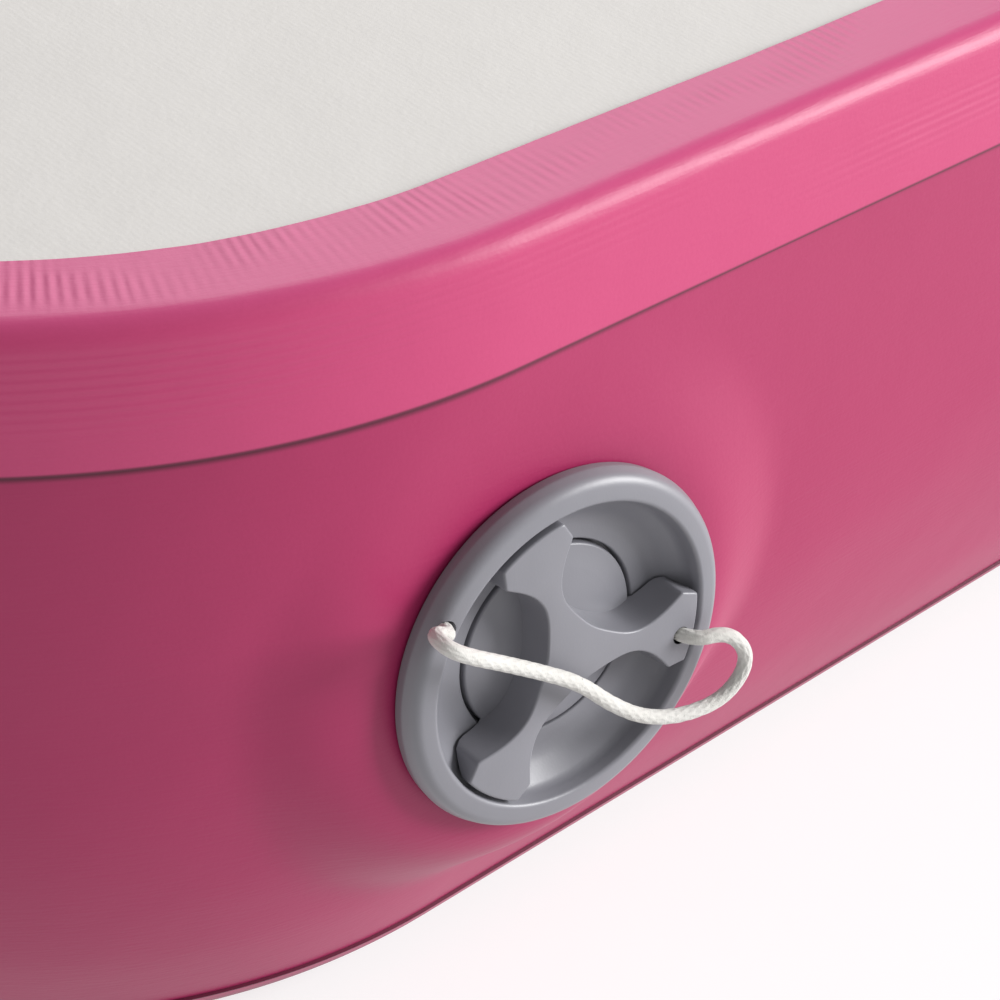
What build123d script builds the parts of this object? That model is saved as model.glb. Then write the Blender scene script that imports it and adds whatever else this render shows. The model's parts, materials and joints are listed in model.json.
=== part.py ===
"""Inflated air track mat with a lever-cap valve in its end wall.

Millimetres, +Z up. The origin is the middle of the mat's underside. The mat is 3 m along Y and
1 m along X, and its valve faces -Y near the corner at -X. Every valve piece is drawn upright
about the Z axis, with Z = 0 on the wall's outer face and +Z leading out of the mat, and is then
stood on VALVE_SEAT.
"""
from build123d import *
import math
import os

os.makedirs("parts", exist_ok=True)

# Mat, inflated
MAT_WIDTH = 1000.0  # along X
MAT_LENGTH = 3000.0  # along Y
MAT_THICKNESS = 150.0
CORNER_RADIUS = 125.0  # of the wall's widest line, in plan
SKIN = 1.0  # thickness of each coated skin and of the wall band
TAPE = 0.6  # thickness of the edge tapes
WIDEST_HEIGHT = 80.0  # of the wall's widest line
TOP_BELLY_RADIUS = 700.0  # the wall's bulge above that line
TOP_BEND_RADIUS = 3.5  # of the bend from the flat skin into the wall
LOW_BELLY_RADIUS = 150.0
LOW_BEND_RADIUS = 18.0
TAPE_OVERLAP = 13.0  # how far the tapes reach over the flat skins
TOP_TAPE_REACH = 21.0  # how far each tape reaches along the wall's height
LOW_TAPE_REACH = 10.5

# Drop-stitch yarns, one thick thread for each bundle of real ones
YARN_RADIUS = 1.0
YARN_PITCH = 100.0
YARN_COLUMNS = 9
YARN_ROWS = 29

# Seam of the wall band, in the middle of the end opposite the valve
JOINT_PATCH_WIDTH = 60.0

# Valve places: radii from its axis, and heights out from the wall's outer face
FLANGE_RADIUS = 30.0
SHOULDER_RADIUS = 24.0  # of the collar that fills the hole in the wall
NECK_RADIUS = 19.0
NECK_END = -24.0
THROAT_RADIUS = 14.0
FLANGE_BACK = 0.6  # the gasket's outer face
SHOULDER_END = -10.9
LEDGE = -3.2  # the flange's step under the cap's disc
VALVE_FROM_CORNER = 5.6  # from the end of the corner's bend to the valve's axis
VALVE_HEIGHT = 78.2
VALVE_LEAN_UP = 5.4  # degrees
VALVE_LEAN_SIDE = 4.0  # degrees, towards the near corner
VALVE_STAND = 2.25  # how far the valve's origin stands out from the wall's widest line
CLAMP_FACE = -11.7  # the clamp nut's outer face
PATCH_RADIUS = 52.0

# Cap
CAP_RADIUS = 16.0
CAP_SEAT = -3.1  # underside of the cap's disc, just clear of the ledge
KNOB_TOP = 5.5
LOBE_COUNT = 3
LOBE_ANGLE = -11.4  # of the lobe that carries the tether, from +X towards +Z
LOBE_RADIUS = 24.5
LOBE_SHOULDER_RADIUS = 21.5
LOBE_END_HALF_ANGLE = 14.0
LOBE_SHOULDER_HALF_ANGLE = 18.0
WAIST_RADIUS = 12.0
WAIST_HALF_WIDTH = 1.8
HUB_RADIUS = 5.5  # from the axis to the nearest point of each hollow between two lobes
PLUG_RADIUS = 13.3
PLUG_BORE = 10.4
PLUG_END = -16.0
LUG_RADIUS = 15.2
LUG_TOP = -8.6
LUG_THICKNESS = 2.0
LUG_SPAN = 24.0  # degrees
ENTRY_SPAN = 34.0  # degrees
TRACK_RADIUS = 15.7
TRACK_TOP = -8.0
TRACK_END = -12.0

# Plunger
STEM_RADIUS = 2.4
HUB_BORE = 2.7
HUB_TOP = -22.0
HUB_END = -25.0
GUIDE_END = -26.0
SEAT_END = -28.5
SEAT_BORE = 13.0
PLATE_RADIUS = 17.0
BUTTON_BACK = -11.7
SPRING_TOP = -12.5

# Tether
CORD_RADIUS = 1.2
HOLE_RADIUS = 1.5
KNOT_RADIUS = 1.6
RIM_HOLE = (-23.2, 14.9)  # across and up from the valve's axis
RIM_KNOT_TOP = 1.6
LOBE_HOLE = (21.1, -5.4)
LOBE_KNOT_LOW = 1.9
LOBE_KNOT_TOP = 3.0
TETHER_CORNERS = [  # on the cord's centreline: across, up, out of the wall
    (*RIM_HOLE, RIM_KNOT_TOP),
    (*RIM_HOLE, 6.9),
    (-27.7, 17.8, 7.3),
    (-27.9, 17.4, 11.9),
    (-23.4, 14.0, 11.8),
    (-17.7, 9.6, 10.0),
    (-9.4, 3.5, 8.8),
    (-1.4, -2.5, 8.2),
    (4.8, -9.4, 8.2),
    (11.3, -14.8, 8.6),
    (18.8, -17.6, 9.2),
    (27.1, -17.5, 9.9),
    (31.7, -11.9, 10.2),
    (28.2, -5.7, 9.2),
    (*LOBE_HOLE, 7.5),
    (*LOBE_HOLE, LOBE_KNOT_TOP),
]

BODY_LOW = TAPE
BODY_HIGH = MAT_THICKNESS - TAPE
VALVE_X = VALVE_FROM_CORNER - (MAT_WIDTH / 2 - CORNER_RADIUS)
LEAN_UP = math.radians(VALVE_LEAN_UP)
LEAN_SIDE = math.radians(VALVE_LEAN_SIDE)
VALVE_SEAT = Plane(
    origin=(VALVE_X, -MAT_LENGTH / 2 - VALVE_STAND, VALVE_HEIGHT),
    x_dir=(math.cos(LEAN_SIDE), -math.sin(LEAN_SIDE), 0),
    z_dir=(
        -math.sin(LEAN_SIDE) * math.cos(LEAN_UP),
        -math.cos(LEAN_SIDE) * math.cos(LEAN_UP),
        math.sin(LEAN_UP),
    ),
)


# The mat's own shapes: sections are drawn as (inset from the widest line, height)


class HalfWall:
    """One half of the wall's section: a bulge from the widest line, then a bend into a skin.

    Points are (inset from the widest line, height). The bend meets the bulge and the flat
    skin without a corner. The lower half is the same, drawn downwards.
    """

    def __init__(self, skin_height, belly_radius, bend_radius):
        self.way = 1 if skin_height > WIDEST_HEIGHT else -1
        self.skin_height = skin_height
        self.belly_radius = belly_radius
        self.bend_radius = bend_radius
        rise = abs(skin_height - WIDEST_HEIGHT) - bend_radius
        run = math.sqrt((belly_radius - bend_radius) ** 2 - rise**2)
        self.inset = belly_radius - run  # where the flat skin ends and the bend begins
        self.turn = math.degrees(math.atan2(rise, run))  # of the bulge, up to the bend

    def bend(self, depth):
        """The bend, at a depth under the wall's outer face."""
        centre = (self.inset, self.skin_height - self.way * self.bend_radius)
        return CenterArc(centre, self.bend_radius - depth, 90 * self.way, self.way * (90 - self.turn))

    def belly(self, depth, low_turn=0.0):
        """The bulge, from a turn away from the widest line up to the bend."""
        centre = (self.belly_radius, WIDEST_HEIGHT)
        start = 180 - self.way * self.turn
        sweep_angle = self.way * (self.turn - low_turn)
        return CenterArc(centre, self.belly_radius - depth, start, sweep_angle)

    def rim(self, outer, inner):
        """The cut edge between two depths, where the wall meets the flat skin."""
        high = self.skin_height - self.way * outer
        return Line((self.inset, high), (self.inset, self.skin_height - self.way * inner))

    def tape_section(self, reach):
        """The edge tape: flat over the skin, round the bend and along the wall."""
        drop = abs(self.skin_height - WIDEST_HEIGHT) - reach
        low_turn = math.degrees(math.asin(drop / self.belly_radius))
        inner_edge = self.inset + TAPE_OVERLAP
        edges = []
        for depth in (-TAPE, 0):
            height = self.skin_height - self.way * depth
            edges.append(Line((inner_edge, height), (self.inset, height)))
            edges += [self.bend(depth), self.belly(depth, low_turn)]
        far = self.skin_height + self.way * TAPE
        edges.append(Line((inner_edge, self.skin_height), (inner_edge, far)))
        edges.append(Line(self.belly(-TAPE, low_turn) @ 1, self.belly(0, low_turn) @ 1))
        return make_face(edges)


TOP_HALF = HalfWall(BODY_HIGH, TOP_BELLY_RADIUS, TOP_BEND_RADIUS)
LOW_HALF = HalfWall(BODY_LOW, LOW_BELLY_RADIUS, LOW_BEND_RADIUS)


def wall_section(outer, inner):
    """The slice of wall between two depths."""
    edges = []
    for half in (TOP_HALF, LOW_HALF):
        for depth in (outer, inner):
            edges += [half.bend(depth), half.belly(depth)]
        edges.append(half.rim(outer, inner))
    return make_face(edges)


def round_the_mat(section):
    """Carry a section round the mat: four straight runs and four quarter turns."""
    pieces = []
    for quarter in range(4):
        half_run, half_across = MAT_WIDTH / 2, MAT_LENGTH / 2
        if quarter % 2:
            half_run, half_across = half_across, half_run
        straight = half_run - CORNER_RADIUS
        start = Plane(origin=(-straight, -half_across, 0), x_dir=(0, 1, 0), z_dir=(1, 0, 0))
        end = Plane(origin=(straight, -half_across, 0), x_dir=(0, 1, 0), z_dir=(1, 0, 0))
        corner = Axis((straight, CORNER_RADIUS - half_across, 0), (0, 0, 1))
        pieces.append(Rot(0, 0, 90 * quarter) * extrude(start * section, 2 * straight))
        pieces.append(Rot(0, 0, 90 * quarter) * revolve(end * section, corner, 90))
    return pieces[0].fuse(*pieces[1:])


def slab(inset, low, high):
    """A flat sheet with the mat's outline, drawn in by an inset."""
    outline = RectangleRounded(
        MAT_WIDTH - 2 * inset, MAT_LENGTH - 2 * inset, CORNER_RADIUS - inset
    )
    return Pos(0, 0, low) * extrude(outline, high - low)


# Valve shapes: drawn about the Z axis


def tube(outer, inner, low, high):
    ring = Circle(outer) - Circle(inner) if inner else Circle(outer)
    return Pos(0, 0, low) * extrude(ring, high - low)


def turned(points, rounds=()):
    """Spin a section of (radius, height) points, with some of its corners rounded."""
    section = make_face(Polyline(*points, close=True))
    for corner, radius in rounds:
        section = fillet(section.vertices().sort_by_distance(corner)[0], radius)
    return revolve(Plane.XZ * section, Axis.Z)


def wedge(span, outer, low, high):
    """A pie slice as wide as an angle, centred on +X."""
    half = math.radians(span / 2)
    reach = outer / math.cos(half)
    tips = [(0, 0)]
    for side in (-half, half):
        tips.append((reach * math.cos(side), reach * math.sin(side)))
    slice_of_disc = make_face(Polyline(*tips, close=True)) & Circle(outer)
    return Pos(0, 0, low) * extrude(slice_of_disc, high - low)


def thrice(piece, first_angle=0.0):
    """Three copies of a piece, evenly round the axis."""
    copies = []
    for turn in range(LOBE_COUNT):
        copies.append(Rot(0, 0, first_angle + turn * 360 / LOBE_COUNT) * piece)
    return copies


def polar(radius, degrees):
    return (radius * math.cos(math.radians(degrees)), radius * math.sin(math.radians(degrees)))


def knob_outline():
    """Three flared lobes joined by three hollow curves."""
    edges = []
    step = 360 / LOBE_COUNT
    waist_angle = math.degrees(math.asin(WAIST_HALF_WIDTH / WAIST_RADIUS))
    for turn in range(LOBE_COUNT):
        lobe = LOBE_ANGLE + turn * step
        shoulder_out = polar(LOBE_SHOULDER_RADIUS, lobe - LOBE_SHOULDER_HALF_ANGLE)
        end_out = polar(LOBE_RADIUS, lobe - LOBE_END_HALF_ANGLE)
        end_back = polar(LOBE_RADIUS, lobe + LOBE_END_HALF_ANGLE)
        shoulder_back = polar(LOBE_SHOULDER_RADIUS, lobe + LOBE_SHOULDER_HALF_ANGLE)
        edges.append(Line(shoulder_out, end_out))
        edges.append(ThreePointArc(end_out, polar(LOBE_RADIUS, lobe), end_back))
        edges.append(Line(end_back, shoulder_back))
        hollow = [
            shoulder_back,
            polar(WAIST_RADIUS, lobe + waist_angle),
            polar(HUB_RADIUS, lobe + step / 2),
            polar(WAIST_RADIUS, lobe + step - waist_angle),
            polar(LOBE_SHOULDER_RADIUS, lobe + step - LOBE_SHOULDER_HALF_ANGLE),
        ]
        edges.append(Spline(*hollow))
    return make_face(edges)


# Mat


def make_top_skin():
    return slab(TOP_HALF.inset, BODY_HIGH - SKIN, BODY_HIGH)


def make_bottom_skin():
    """The middle stands down by the tape's thickness, so the whole underside is level."""
    rim = slab(LOW_HALF.inset, BODY_LOW, BODY_LOW + SKIN)
    return rim + slab(LOW_HALF.inset + TAPE_OVERLAP, 0, BODY_LOW + SKIN)


def make_yarns():
    length = BODY_HIGH - BODY_LOW - 2 * SKIN
    yarns = []
    for place in GridLocations(YARN_PITCH, YARN_PITCH, YARN_COLUMNS, YARN_ROWS):
        yarns.append(place * Pos(0, 0, MAT_THICKNESS / 2) * Cylinder(YARN_RADIUS, length))
    return Compound(children=yarns)


def make_side_wall():
    hole = VALVE_SEAT * tube(SHOULDER_RADIUS, 0, -20, 8)
    return round_the_mat(wall_section(0, SKIN)) - hole


def make_joint_patch():
    band = round_the_mat(wall_section(SKIN, 2 * SKIN))
    return band & Pos(0, MAT_LENGTH / 2, WIDEST_HEIGHT) * Box(JOINT_PATCH_WIDTH, 40, 110)


def make_backing_patch():
    band = round_the_mat(wall_section(SKIN, 2 * SKIN))
    return band & VALVE_SEAT * tube(PATCH_RADIUS, SHOULDER_RADIUS, -24, 10)


# Valve


def make_gasket(wall):
    """Fills the space between the flat flange and the curved wall."""
    ring = VALVE_SEAT * tube(FLANGE_RADIUS - 1, SHOULDER_RADIUS, -14, FLANGE_BACK)
    return (ring - wall).solids().sort_by(Axis.Y)[0]


def make_clamp_washer(wall):
    """Fills the space between the curved wall and the flat clamp nut."""
    ring = VALVE_SEAT * tube(FLANGE_RADIUS, SHOULDER_RADIUS, CLAMP_FACE, 2)
    return (ring - wall).solids().sort_by(Axis.Y)[-1]


def make_flange():
    rim = [
        (THROAT_RADIUS, NECK_END),
        (NECK_RADIUS, NECK_END),
        (NECK_RADIUS, SHOULDER_END),
        (SHOULDER_RADIUS, SHOULDER_END),
        (SHOULDER_RADIUS, FLANGE_BACK),
        (29.7, FLANGE_BACK),
        (FLANGE_RADIUS, 0.9),
        (FLANGE_RADIUS, 5.3),
        (25.3, 5.3),
        (24.6, 2.2),
        (20.5, -0.9),
        (CAP_RADIUS + 0.4, -1.3),
        (CAP_RADIUS + 0.4, LEDGE),
        (THROAT_RADIUS, LEDGE),
    ]
    rounds = [((FLANGE_RADIUS, 5.3), 3.4), ((25.3, 5.3), 0.6), ((24.6, 2.2), 2.0), ((20.5, -0.9), 5.0)]
    body = turned(rim, rounds)
    body -= tube(TRACK_RADIUS, 0, TRACK_END, TRACK_TOP)
    for slot in thrice(wedge(ENTRY_SPAN, TRACK_RADIUS, TRACK_TOP, LEDGE)):
        body -= slot
    body -= Pos(*RIM_HOLE, 0) * tube(HOLE_RADIUS, 0, FLANGE_BACK, KNOB_TOP)
    return body - Pos(*RIM_HOLE, 0) * tube(KNOT_RADIUS + 0.2, 0, FLANGE_BACK, RIM_KNOT_TOP)


def make_clamp_nut():
    rim = [
        (NECK_RADIUS, CLAMP_FACE),
        (31.0, CLAMP_FACE),
        (31.0, CLAMP_FACE - 2.6),
        (23.0, CLAMP_FACE - 2.6),
        (23.0, SEAT_END),
        (SEAT_BORE, SEAT_END),
        (SEAT_BORE, GUIDE_END),
        (NECK_RADIUS, GUIDE_END),
    ]
    return turned(rim)


def make_guide():
    """A ring and a slotted hub joined by three spokes."""
    hub = tube(7.0, 0, HUB_END, HUB_TOP)
    ring = tube(NECK_RADIUS - 0.1, 15.2, GUIDE_END, NECK_END)
    spoke = Pos(11.0, 0, -24.6) * Box(10.0, 2.4, 0.8)
    guide = hub + ring
    for arm in thrice(spoke, 30):
        guide += arm
    ear_slot = Pos(0, 0, (HUB_TOP + HUB_END) / 2) * Box(9.8, 2.8, HUB_TOP - HUB_END)
    return guide - tube(HUB_BORE, 0, HUB_END, HUB_TOP) - ear_slot


def make_stem():
    """Stem, inner plate and the two ears that lock under the hub after a quarter turn."""
    plate = tube(PLATE_RADIUS, 0, -32.5, -30.0) + tube(12.4, 0, -30.0, -29.0)
    ears = Pos(0, 0, -20.75) * Box(8.8, 2.0, 1.5)
    return plate + ears + tube(STEM_RADIUS, 0, -29.0, BUTTON_BACK)


def make_button():
    crown = [(0, BUTTON_BACK), (6.5, BUTTON_BACK), (6.5, -10.4), (4.5, -9.5), (0, -9.5)]
    return turned(crown, [((6.5, -10.4), 0.6)])


def make_spring():
    coils = 4
    height = SPRING_TOP - HUB_TOP
    wire = 0.4
    path = Helix(pitch=(height - 2 * wire) / coils, height=height - 2 * wire, radius=5.9)
    section = Plane(origin=path @ 0, z_dir=path % 0) * Circle(wire)
    return Pos(0, 0, HUB_TOP + wire) * sweep(section, path)


def make_cap():
    dome = [
        (0, CAP_SEAT),
        (CAP_RADIUS, CAP_SEAT),
        (CAP_RADIUS, -1.3),
        (12.5, -0.6),
        (6.0, 0.0),
        (0, 0.2),
    ]
    plug = [
        (PLUG_BORE, CAP_SEAT),
        (PLUG_BORE, PLUG_END),
        (PLUG_RADIUS, PLUG_END),
        (PLUG_RADIUS, -15.2),
        (12.3, -15.2),
        (12.3, -13.4),
        (PLUG_RADIUS, -13.4),
        (PLUG_RADIUS, CAP_SEAT),
    ]
    over_rim = [
        (0, CAP_SEAT),
        (CAP_RADIUS, CAP_SEAT),
        (CAP_RADIUS, -0.9),
        (20.5, -0.3),
        (23.0, 1.6),
        (25.0, 4.0),
        (25.0, KNOB_TOP),
        (0, KNOB_TOP),
    ]
    knob = Pos(0, 0, CAP_SEAT) * extrude(knob_outline(), KNOB_TOP - CAP_SEAT)
    body = turned(dome) + turned(plug) + (knob & turned(over_rim))
    lug = wedge(LUG_SPAN, LUG_RADIUS, LUG_TOP - LUG_THICKNESS, LUG_TOP)
    for copy in thrice(lug - tube(PLUG_BORE + 1, 0, PLUG_END, 0)):
        body += copy
    body -= Pos(*LOBE_HOLE, 0) * tube(HOLE_RADIUS, 0, 0, KNOB_TOP)
    return body - Pos(*LOBE_HOLE, 0) * tube(KNOT_RADIUS + 0.2, 0, 0, LOBE_KNOT_TOP)


def make_seal_ring():
    return turned([(12.3, -15.0), (13.7, -15.0), (13.7, -13.6), (12.3, -13.6)])


def make_tether():
    """A round cord along straight runs joined by arcs that use 45% of the shorter run."""
    corners = [Vector(*corner) for corner in TETHER_CORNERS]
    radii = []
    for before, here, after in zip(corners, corners[1:], corners[2:]):
        half_turn = math.radians((here - before).get_angle(after - here) / 2)
        shorter = min((here - before).length, (after - here).length)
        radii.append(0.45 * shorter / math.tan(half_turn))
    path = FilletPolyline(*corners, radius=radii)
    section = Plane(origin=path @ 0, z_dir=path % 0) * Circle(CORD_RADIUS)
    cord = sweep(section, path)
    print("tether radii", [round(radius, 1) for radius in radii])
    print("tether length", round(path.length, 1), "volume", round(cord.volume, 1))
    print("section times length", round(math.pi * CORD_RADIUS**2 * path.length, 1))
    return cord


ON_VALVE = {
    "valve_flange": make_flange,
    "valve_clamp_nut": make_clamp_nut,
    "stem_guide": make_guide,
    "poppet_stem": make_stem,
    "poppet_seal": lambda: tube(16.5, 12.6, -30.0, SEAT_END),
    "plunger_spring": make_spring,
    "spring_retainer": lambda: tube(6.6, STEM_RADIUS + 0.2, SPRING_TOP, BUTTON_BACK),
    "push_button": make_button,
    "valve_cap": make_cap,
    "cap_seal_ring": make_seal_ring,
    "tether_cord": make_tether,
    "tether_knot_flange": lambda: (
        Pos(*RIM_HOLE, 0) * tube(KNOT_RADIUS, 0, FLANGE_BACK, RIM_KNOT_TOP)
    ),
    "tether_knot_cap": lambda: (
        Pos(*LOBE_HOLE, 0) * tube(KNOT_RADIUS, 0, LOBE_KNOT_LOW, LOBE_KNOT_TOP)
    ),
}

WALL = round_the_mat(wall_section(0, 2 * SKIN))
PIECES = {
    "top_skin": make_top_skin(),
    "bottom_skin": make_bottom_skin(),
    "drop_stitch_yarns": make_yarns(),
    "side_wall": make_side_wall(),
    "wall_joint_patch": make_joint_patch(),
    "top_edge_tape": round_the_mat(TOP_HALF.tape_section(TOP_TAPE_REACH)),
    "bottom_edge_tape": round_the_mat(LOW_HALF.tape_section(LOW_TAPE_REACH)),
    "valve_backing_patch": make_backing_patch(),
    "flange_gasket": make_gasket(WALL),
    "clamp_washer": make_clamp_washer(WALL),
}
for name, make in ON_VALVE.items():
    PIECES[name] = VALVE_SEAT * make()

for name, piece in PIECES.items():
    export_step(piece, f"parts/{name}.step")
    print(name, round(piece.volume))
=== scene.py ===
"""Looks of the inflated air track mat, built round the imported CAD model.

Metres, in the CAD's frame: the origin is the middle of the underside, the mat lies along Y, and the
valve is in the -Y wall near the corner at -X. Valve pieces are drawn in the valve's own place:
across, up, and out of the wall from its outer face.
"""

import json
import math

import bmesh
import bpy
import numpy as np
from mathutils import Matrix, Vector, noise


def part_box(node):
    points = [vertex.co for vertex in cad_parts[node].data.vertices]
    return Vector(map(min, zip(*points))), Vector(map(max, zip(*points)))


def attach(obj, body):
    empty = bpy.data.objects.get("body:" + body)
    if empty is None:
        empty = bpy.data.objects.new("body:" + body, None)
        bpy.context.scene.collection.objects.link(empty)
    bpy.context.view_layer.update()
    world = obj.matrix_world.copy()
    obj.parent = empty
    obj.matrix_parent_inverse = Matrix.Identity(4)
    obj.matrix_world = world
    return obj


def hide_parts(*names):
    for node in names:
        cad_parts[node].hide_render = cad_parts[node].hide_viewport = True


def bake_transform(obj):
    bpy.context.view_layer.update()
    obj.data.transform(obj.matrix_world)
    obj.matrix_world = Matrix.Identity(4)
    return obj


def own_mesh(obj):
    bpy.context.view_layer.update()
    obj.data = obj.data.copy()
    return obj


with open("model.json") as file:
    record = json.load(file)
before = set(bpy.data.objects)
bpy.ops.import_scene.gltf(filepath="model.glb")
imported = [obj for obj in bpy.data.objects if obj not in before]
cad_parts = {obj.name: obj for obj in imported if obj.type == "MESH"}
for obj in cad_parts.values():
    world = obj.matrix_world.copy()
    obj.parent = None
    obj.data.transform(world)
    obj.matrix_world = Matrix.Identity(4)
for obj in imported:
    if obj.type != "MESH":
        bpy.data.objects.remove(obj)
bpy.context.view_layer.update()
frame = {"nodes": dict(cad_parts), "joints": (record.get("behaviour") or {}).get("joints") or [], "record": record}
MM = 0.001

# Mat, with the driving sizes of the CAD
WALL_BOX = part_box("side_wall")
HALF_WIDTH = WALL_BOX[1][0]
HALF_LENGTH = WALL_BOX[1][1]
CORNER_RADIUS = 0.125
TAPE = 0.0006
BODY_LOW = TAPE
BODY_HIGH = 0.150 - TAPE
WIDEST_HEIGHT = 0.080
TOP_BELLY, TOP_BEND = 0.700, 0.0035
LOW_BELLY, LOW_BEND = 0.150, 0.018
TAPE_OVERLAP = 0.013
TOP_TAPE_REACH = 0.021
LOW_TAPE_REACH = 0.0105
SKIN = 0.001
FINE_REACH = 0.36  # how far each side of the valve the fine mesh goes
FINE_STEP = 0.0025
COARSE_STEP = 0.030

# Valve, in millimetres as in the CAD
FLANGE_RADIUS = 30.0
FLANGE_BACK = 0.6
WALL_MEETS = 0.25  # height that the wall is drawn up to behind the flange
WALL_PULL = 52.0  # radius at which the wall is back on its own line
WALL_HOLE_RADIUS = 24.6  # hidden behind the flange
NEAR_WALL = 30.0  # depth that tells the valve's wall from the far end of the mat
KNOB_TOP = 5.5
LOBE_ANGLE = -11.4
LOBE_END, LOBE_END_HALF_ANGLE = 24.5, 14.0
LOBE_SHOULDER, LOBE_SHOULDER_HALF_ANGLE = 21.5, 18.0
LOBE_HOLE = (21.1, -5.4)
RIM_HOLE = (-23.2, 14.9)
HOLE_RADIUS = 1.5
CORD_RADIUS = 1.2
TETHER_FREE = 7.0  # height above the rim hole of a point that build_tether works out but does not use
TETHER_ROUTE = [
    (*RIM_HOLE, 1.6),
    (*RIM_HOLE, 6.9),
    (-27.7, 17.8, 7.3),
    (-27.9, 17.4, 11.9),
    (-23.4, 14.0, 11.8),
    (-17.7, 9.6, 10.0),
    (-9.4, 3.5, 8.8),
    (-1.4, -2.5, 8.2),
    (4.8, -9.4, 8.2),
    (11.3, -14.8, 8.6),
    (18.8, -17.6, 9.2),
    (27.1, -17.5, 9.9),
    (31.7, -11.9, 10.2),
    (28.2, -5.7, 9.2),
    (*LOBE_HOLE, 7.5),
    (*LOBE_HOLE, 3.0),
]


def joint(name):
    return next(j for j in frame["joints"] if j["name"] == name)


def valve_place():
    """The matrix from valve millimetres to the frame."""
    out = Vector(joint("cap_lift")["axis"]).normalized()
    across = Vector((-out.y, out.x, 0)).normalized()
    up = out.cross(across)
    matrix = Matrix((across, up, out)).transposed().to_4x4()
    matrix.translation = Vector(joint("cap_turn")["pos_m"])
    return matrix @ Matrix.Scale(MM, 4)


VALVE = valve_place()


# Mesh helpers


def add_mesh(name, vertices, faces):
    mesh = bpy.data.meshes.new(name)
    mesh.from_pydata([tuple(v) for v in vertices], [], faces)
    mesh.update()
    piece = bpy.data.objects.new(name, mesh)
    bpy.context.scene.collection.objects.link(piece)
    return piece


def grid_faces(rows, columns, wrap_rows, wrap_columns):
    faces = []
    for i in range(rows if wrap_rows else rows - 1):
        for j in range(columns if wrap_columns else columns - 1):
            i2, j2 = (i + 1) % rows, (j + 1) % columns
            faces.append((i * columns + j, i2 * columns + j, i2 * columns + j2, i * columns + j2))
    return faces


def tidy_normals(piece, sharp_degrees=35.0):
    """Smooth faces that point outwards, with the sharp edges kept sharp."""
    shape = bmesh.new()
    shape.from_mesh(piece.data)
    bmesh.ops.recalc_face_normals(shape, faces=shape.faces)
    limit = math.radians(sharp_degrees)
    for face in shape.faces:
        face.smooth = True
    for edge in shape.edges:
        edge.smooth = len(edge.link_faces) != 2 or edge.calc_face_angle(0) < limit
    shape.to_mesh(piece.data)
    shape.free()


def apply_modifiers(piece):
    graph = bpy.context.evaluated_depsgraph_get()
    graph.update()
    mesh = bpy.data.meshes.new_from_object(piece.evaluated_get(graph))
    piece.modifiers.clear()
    piece.data = mesh


def set_run(piece, values):
    """Stores how far along the mat's edge, and down its section, each vertex is."""
    layer = piece.data.attributes.new("run", "FLOAT_VECTOR", "POINT")
    layer.data.foreach_set("vector", np.asarray(values, dtype=np.float32).ravel())


def smoothstep(low, high, value):
    t = np.clip((value - low) / (high - low), 0, 1)
    return t * t * (3 - 2 * t)


# The mat's outline in plan, and its section


def outline_stations():
    """Points round the widest line: place, outward normal and distance along the edge."""
    straight_x, straight_y = HALF_WIDTH - CORNER_RADIUS, HALF_LENGTH - CORNER_RADIUS
    places, normals, runs = [], [], []
    valve_x = VALVE.translation.x
    travelled = 0.0

    def near(x, y):
        return math.hypot(x - valve_x, y + HALF_LENGTH) < FINE_REACH

    for quarter in (2, 3, 0, 1):
        turn = quarter * math.pi / 2
        along = Vector((math.cos(turn), math.sin(turn)))
        out = Vector((math.sin(turn), -math.cos(turn)))
        half_run, half_across = (straight_x, HALF_LENGTH) if quarter % 2 == 0 else (straight_y, HALF_WIDTH)
        step_at = 0.0
        while step_at < 2 * half_run - 1e-6:
            place = along * (step_at - half_run) + out * half_across
            places.append(place)
            normals.append(out.copy())
            runs.append(travelled + step_at)
            step = FINE_STEP if near(place.x, place.y) else COARSE_STEP
            step_at += step if 2 * half_run - step_at > 1.5 * step else 2 * half_run - step_at
        travelled += 2 * half_run
        centre = along * half_run + out * (half_across - CORNER_RADIUS)
        fine = near(*(centre + (along + out) * CORNER_RADIUS * 0.7))
        arc = CORNER_RADIUS * math.pi / 2
        count = math.ceil(arc / (FINE_STEP if fine else 0.008))
        for k in range(count):
            angle = turn - math.pi / 2 + k / count * math.pi / 2
            way = Vector((math.cos(angle), math.sin(angle)))
            places.append(centre + way * CORNER_RADIUS)
            normals.append(way)
            runs.append(travelled + arc * k / count)
        travelled += arc
    return np.array(places), np.array(normals), np.array(runs)


PLACES, NORMALS, RUNS = outline_stations()


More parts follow.
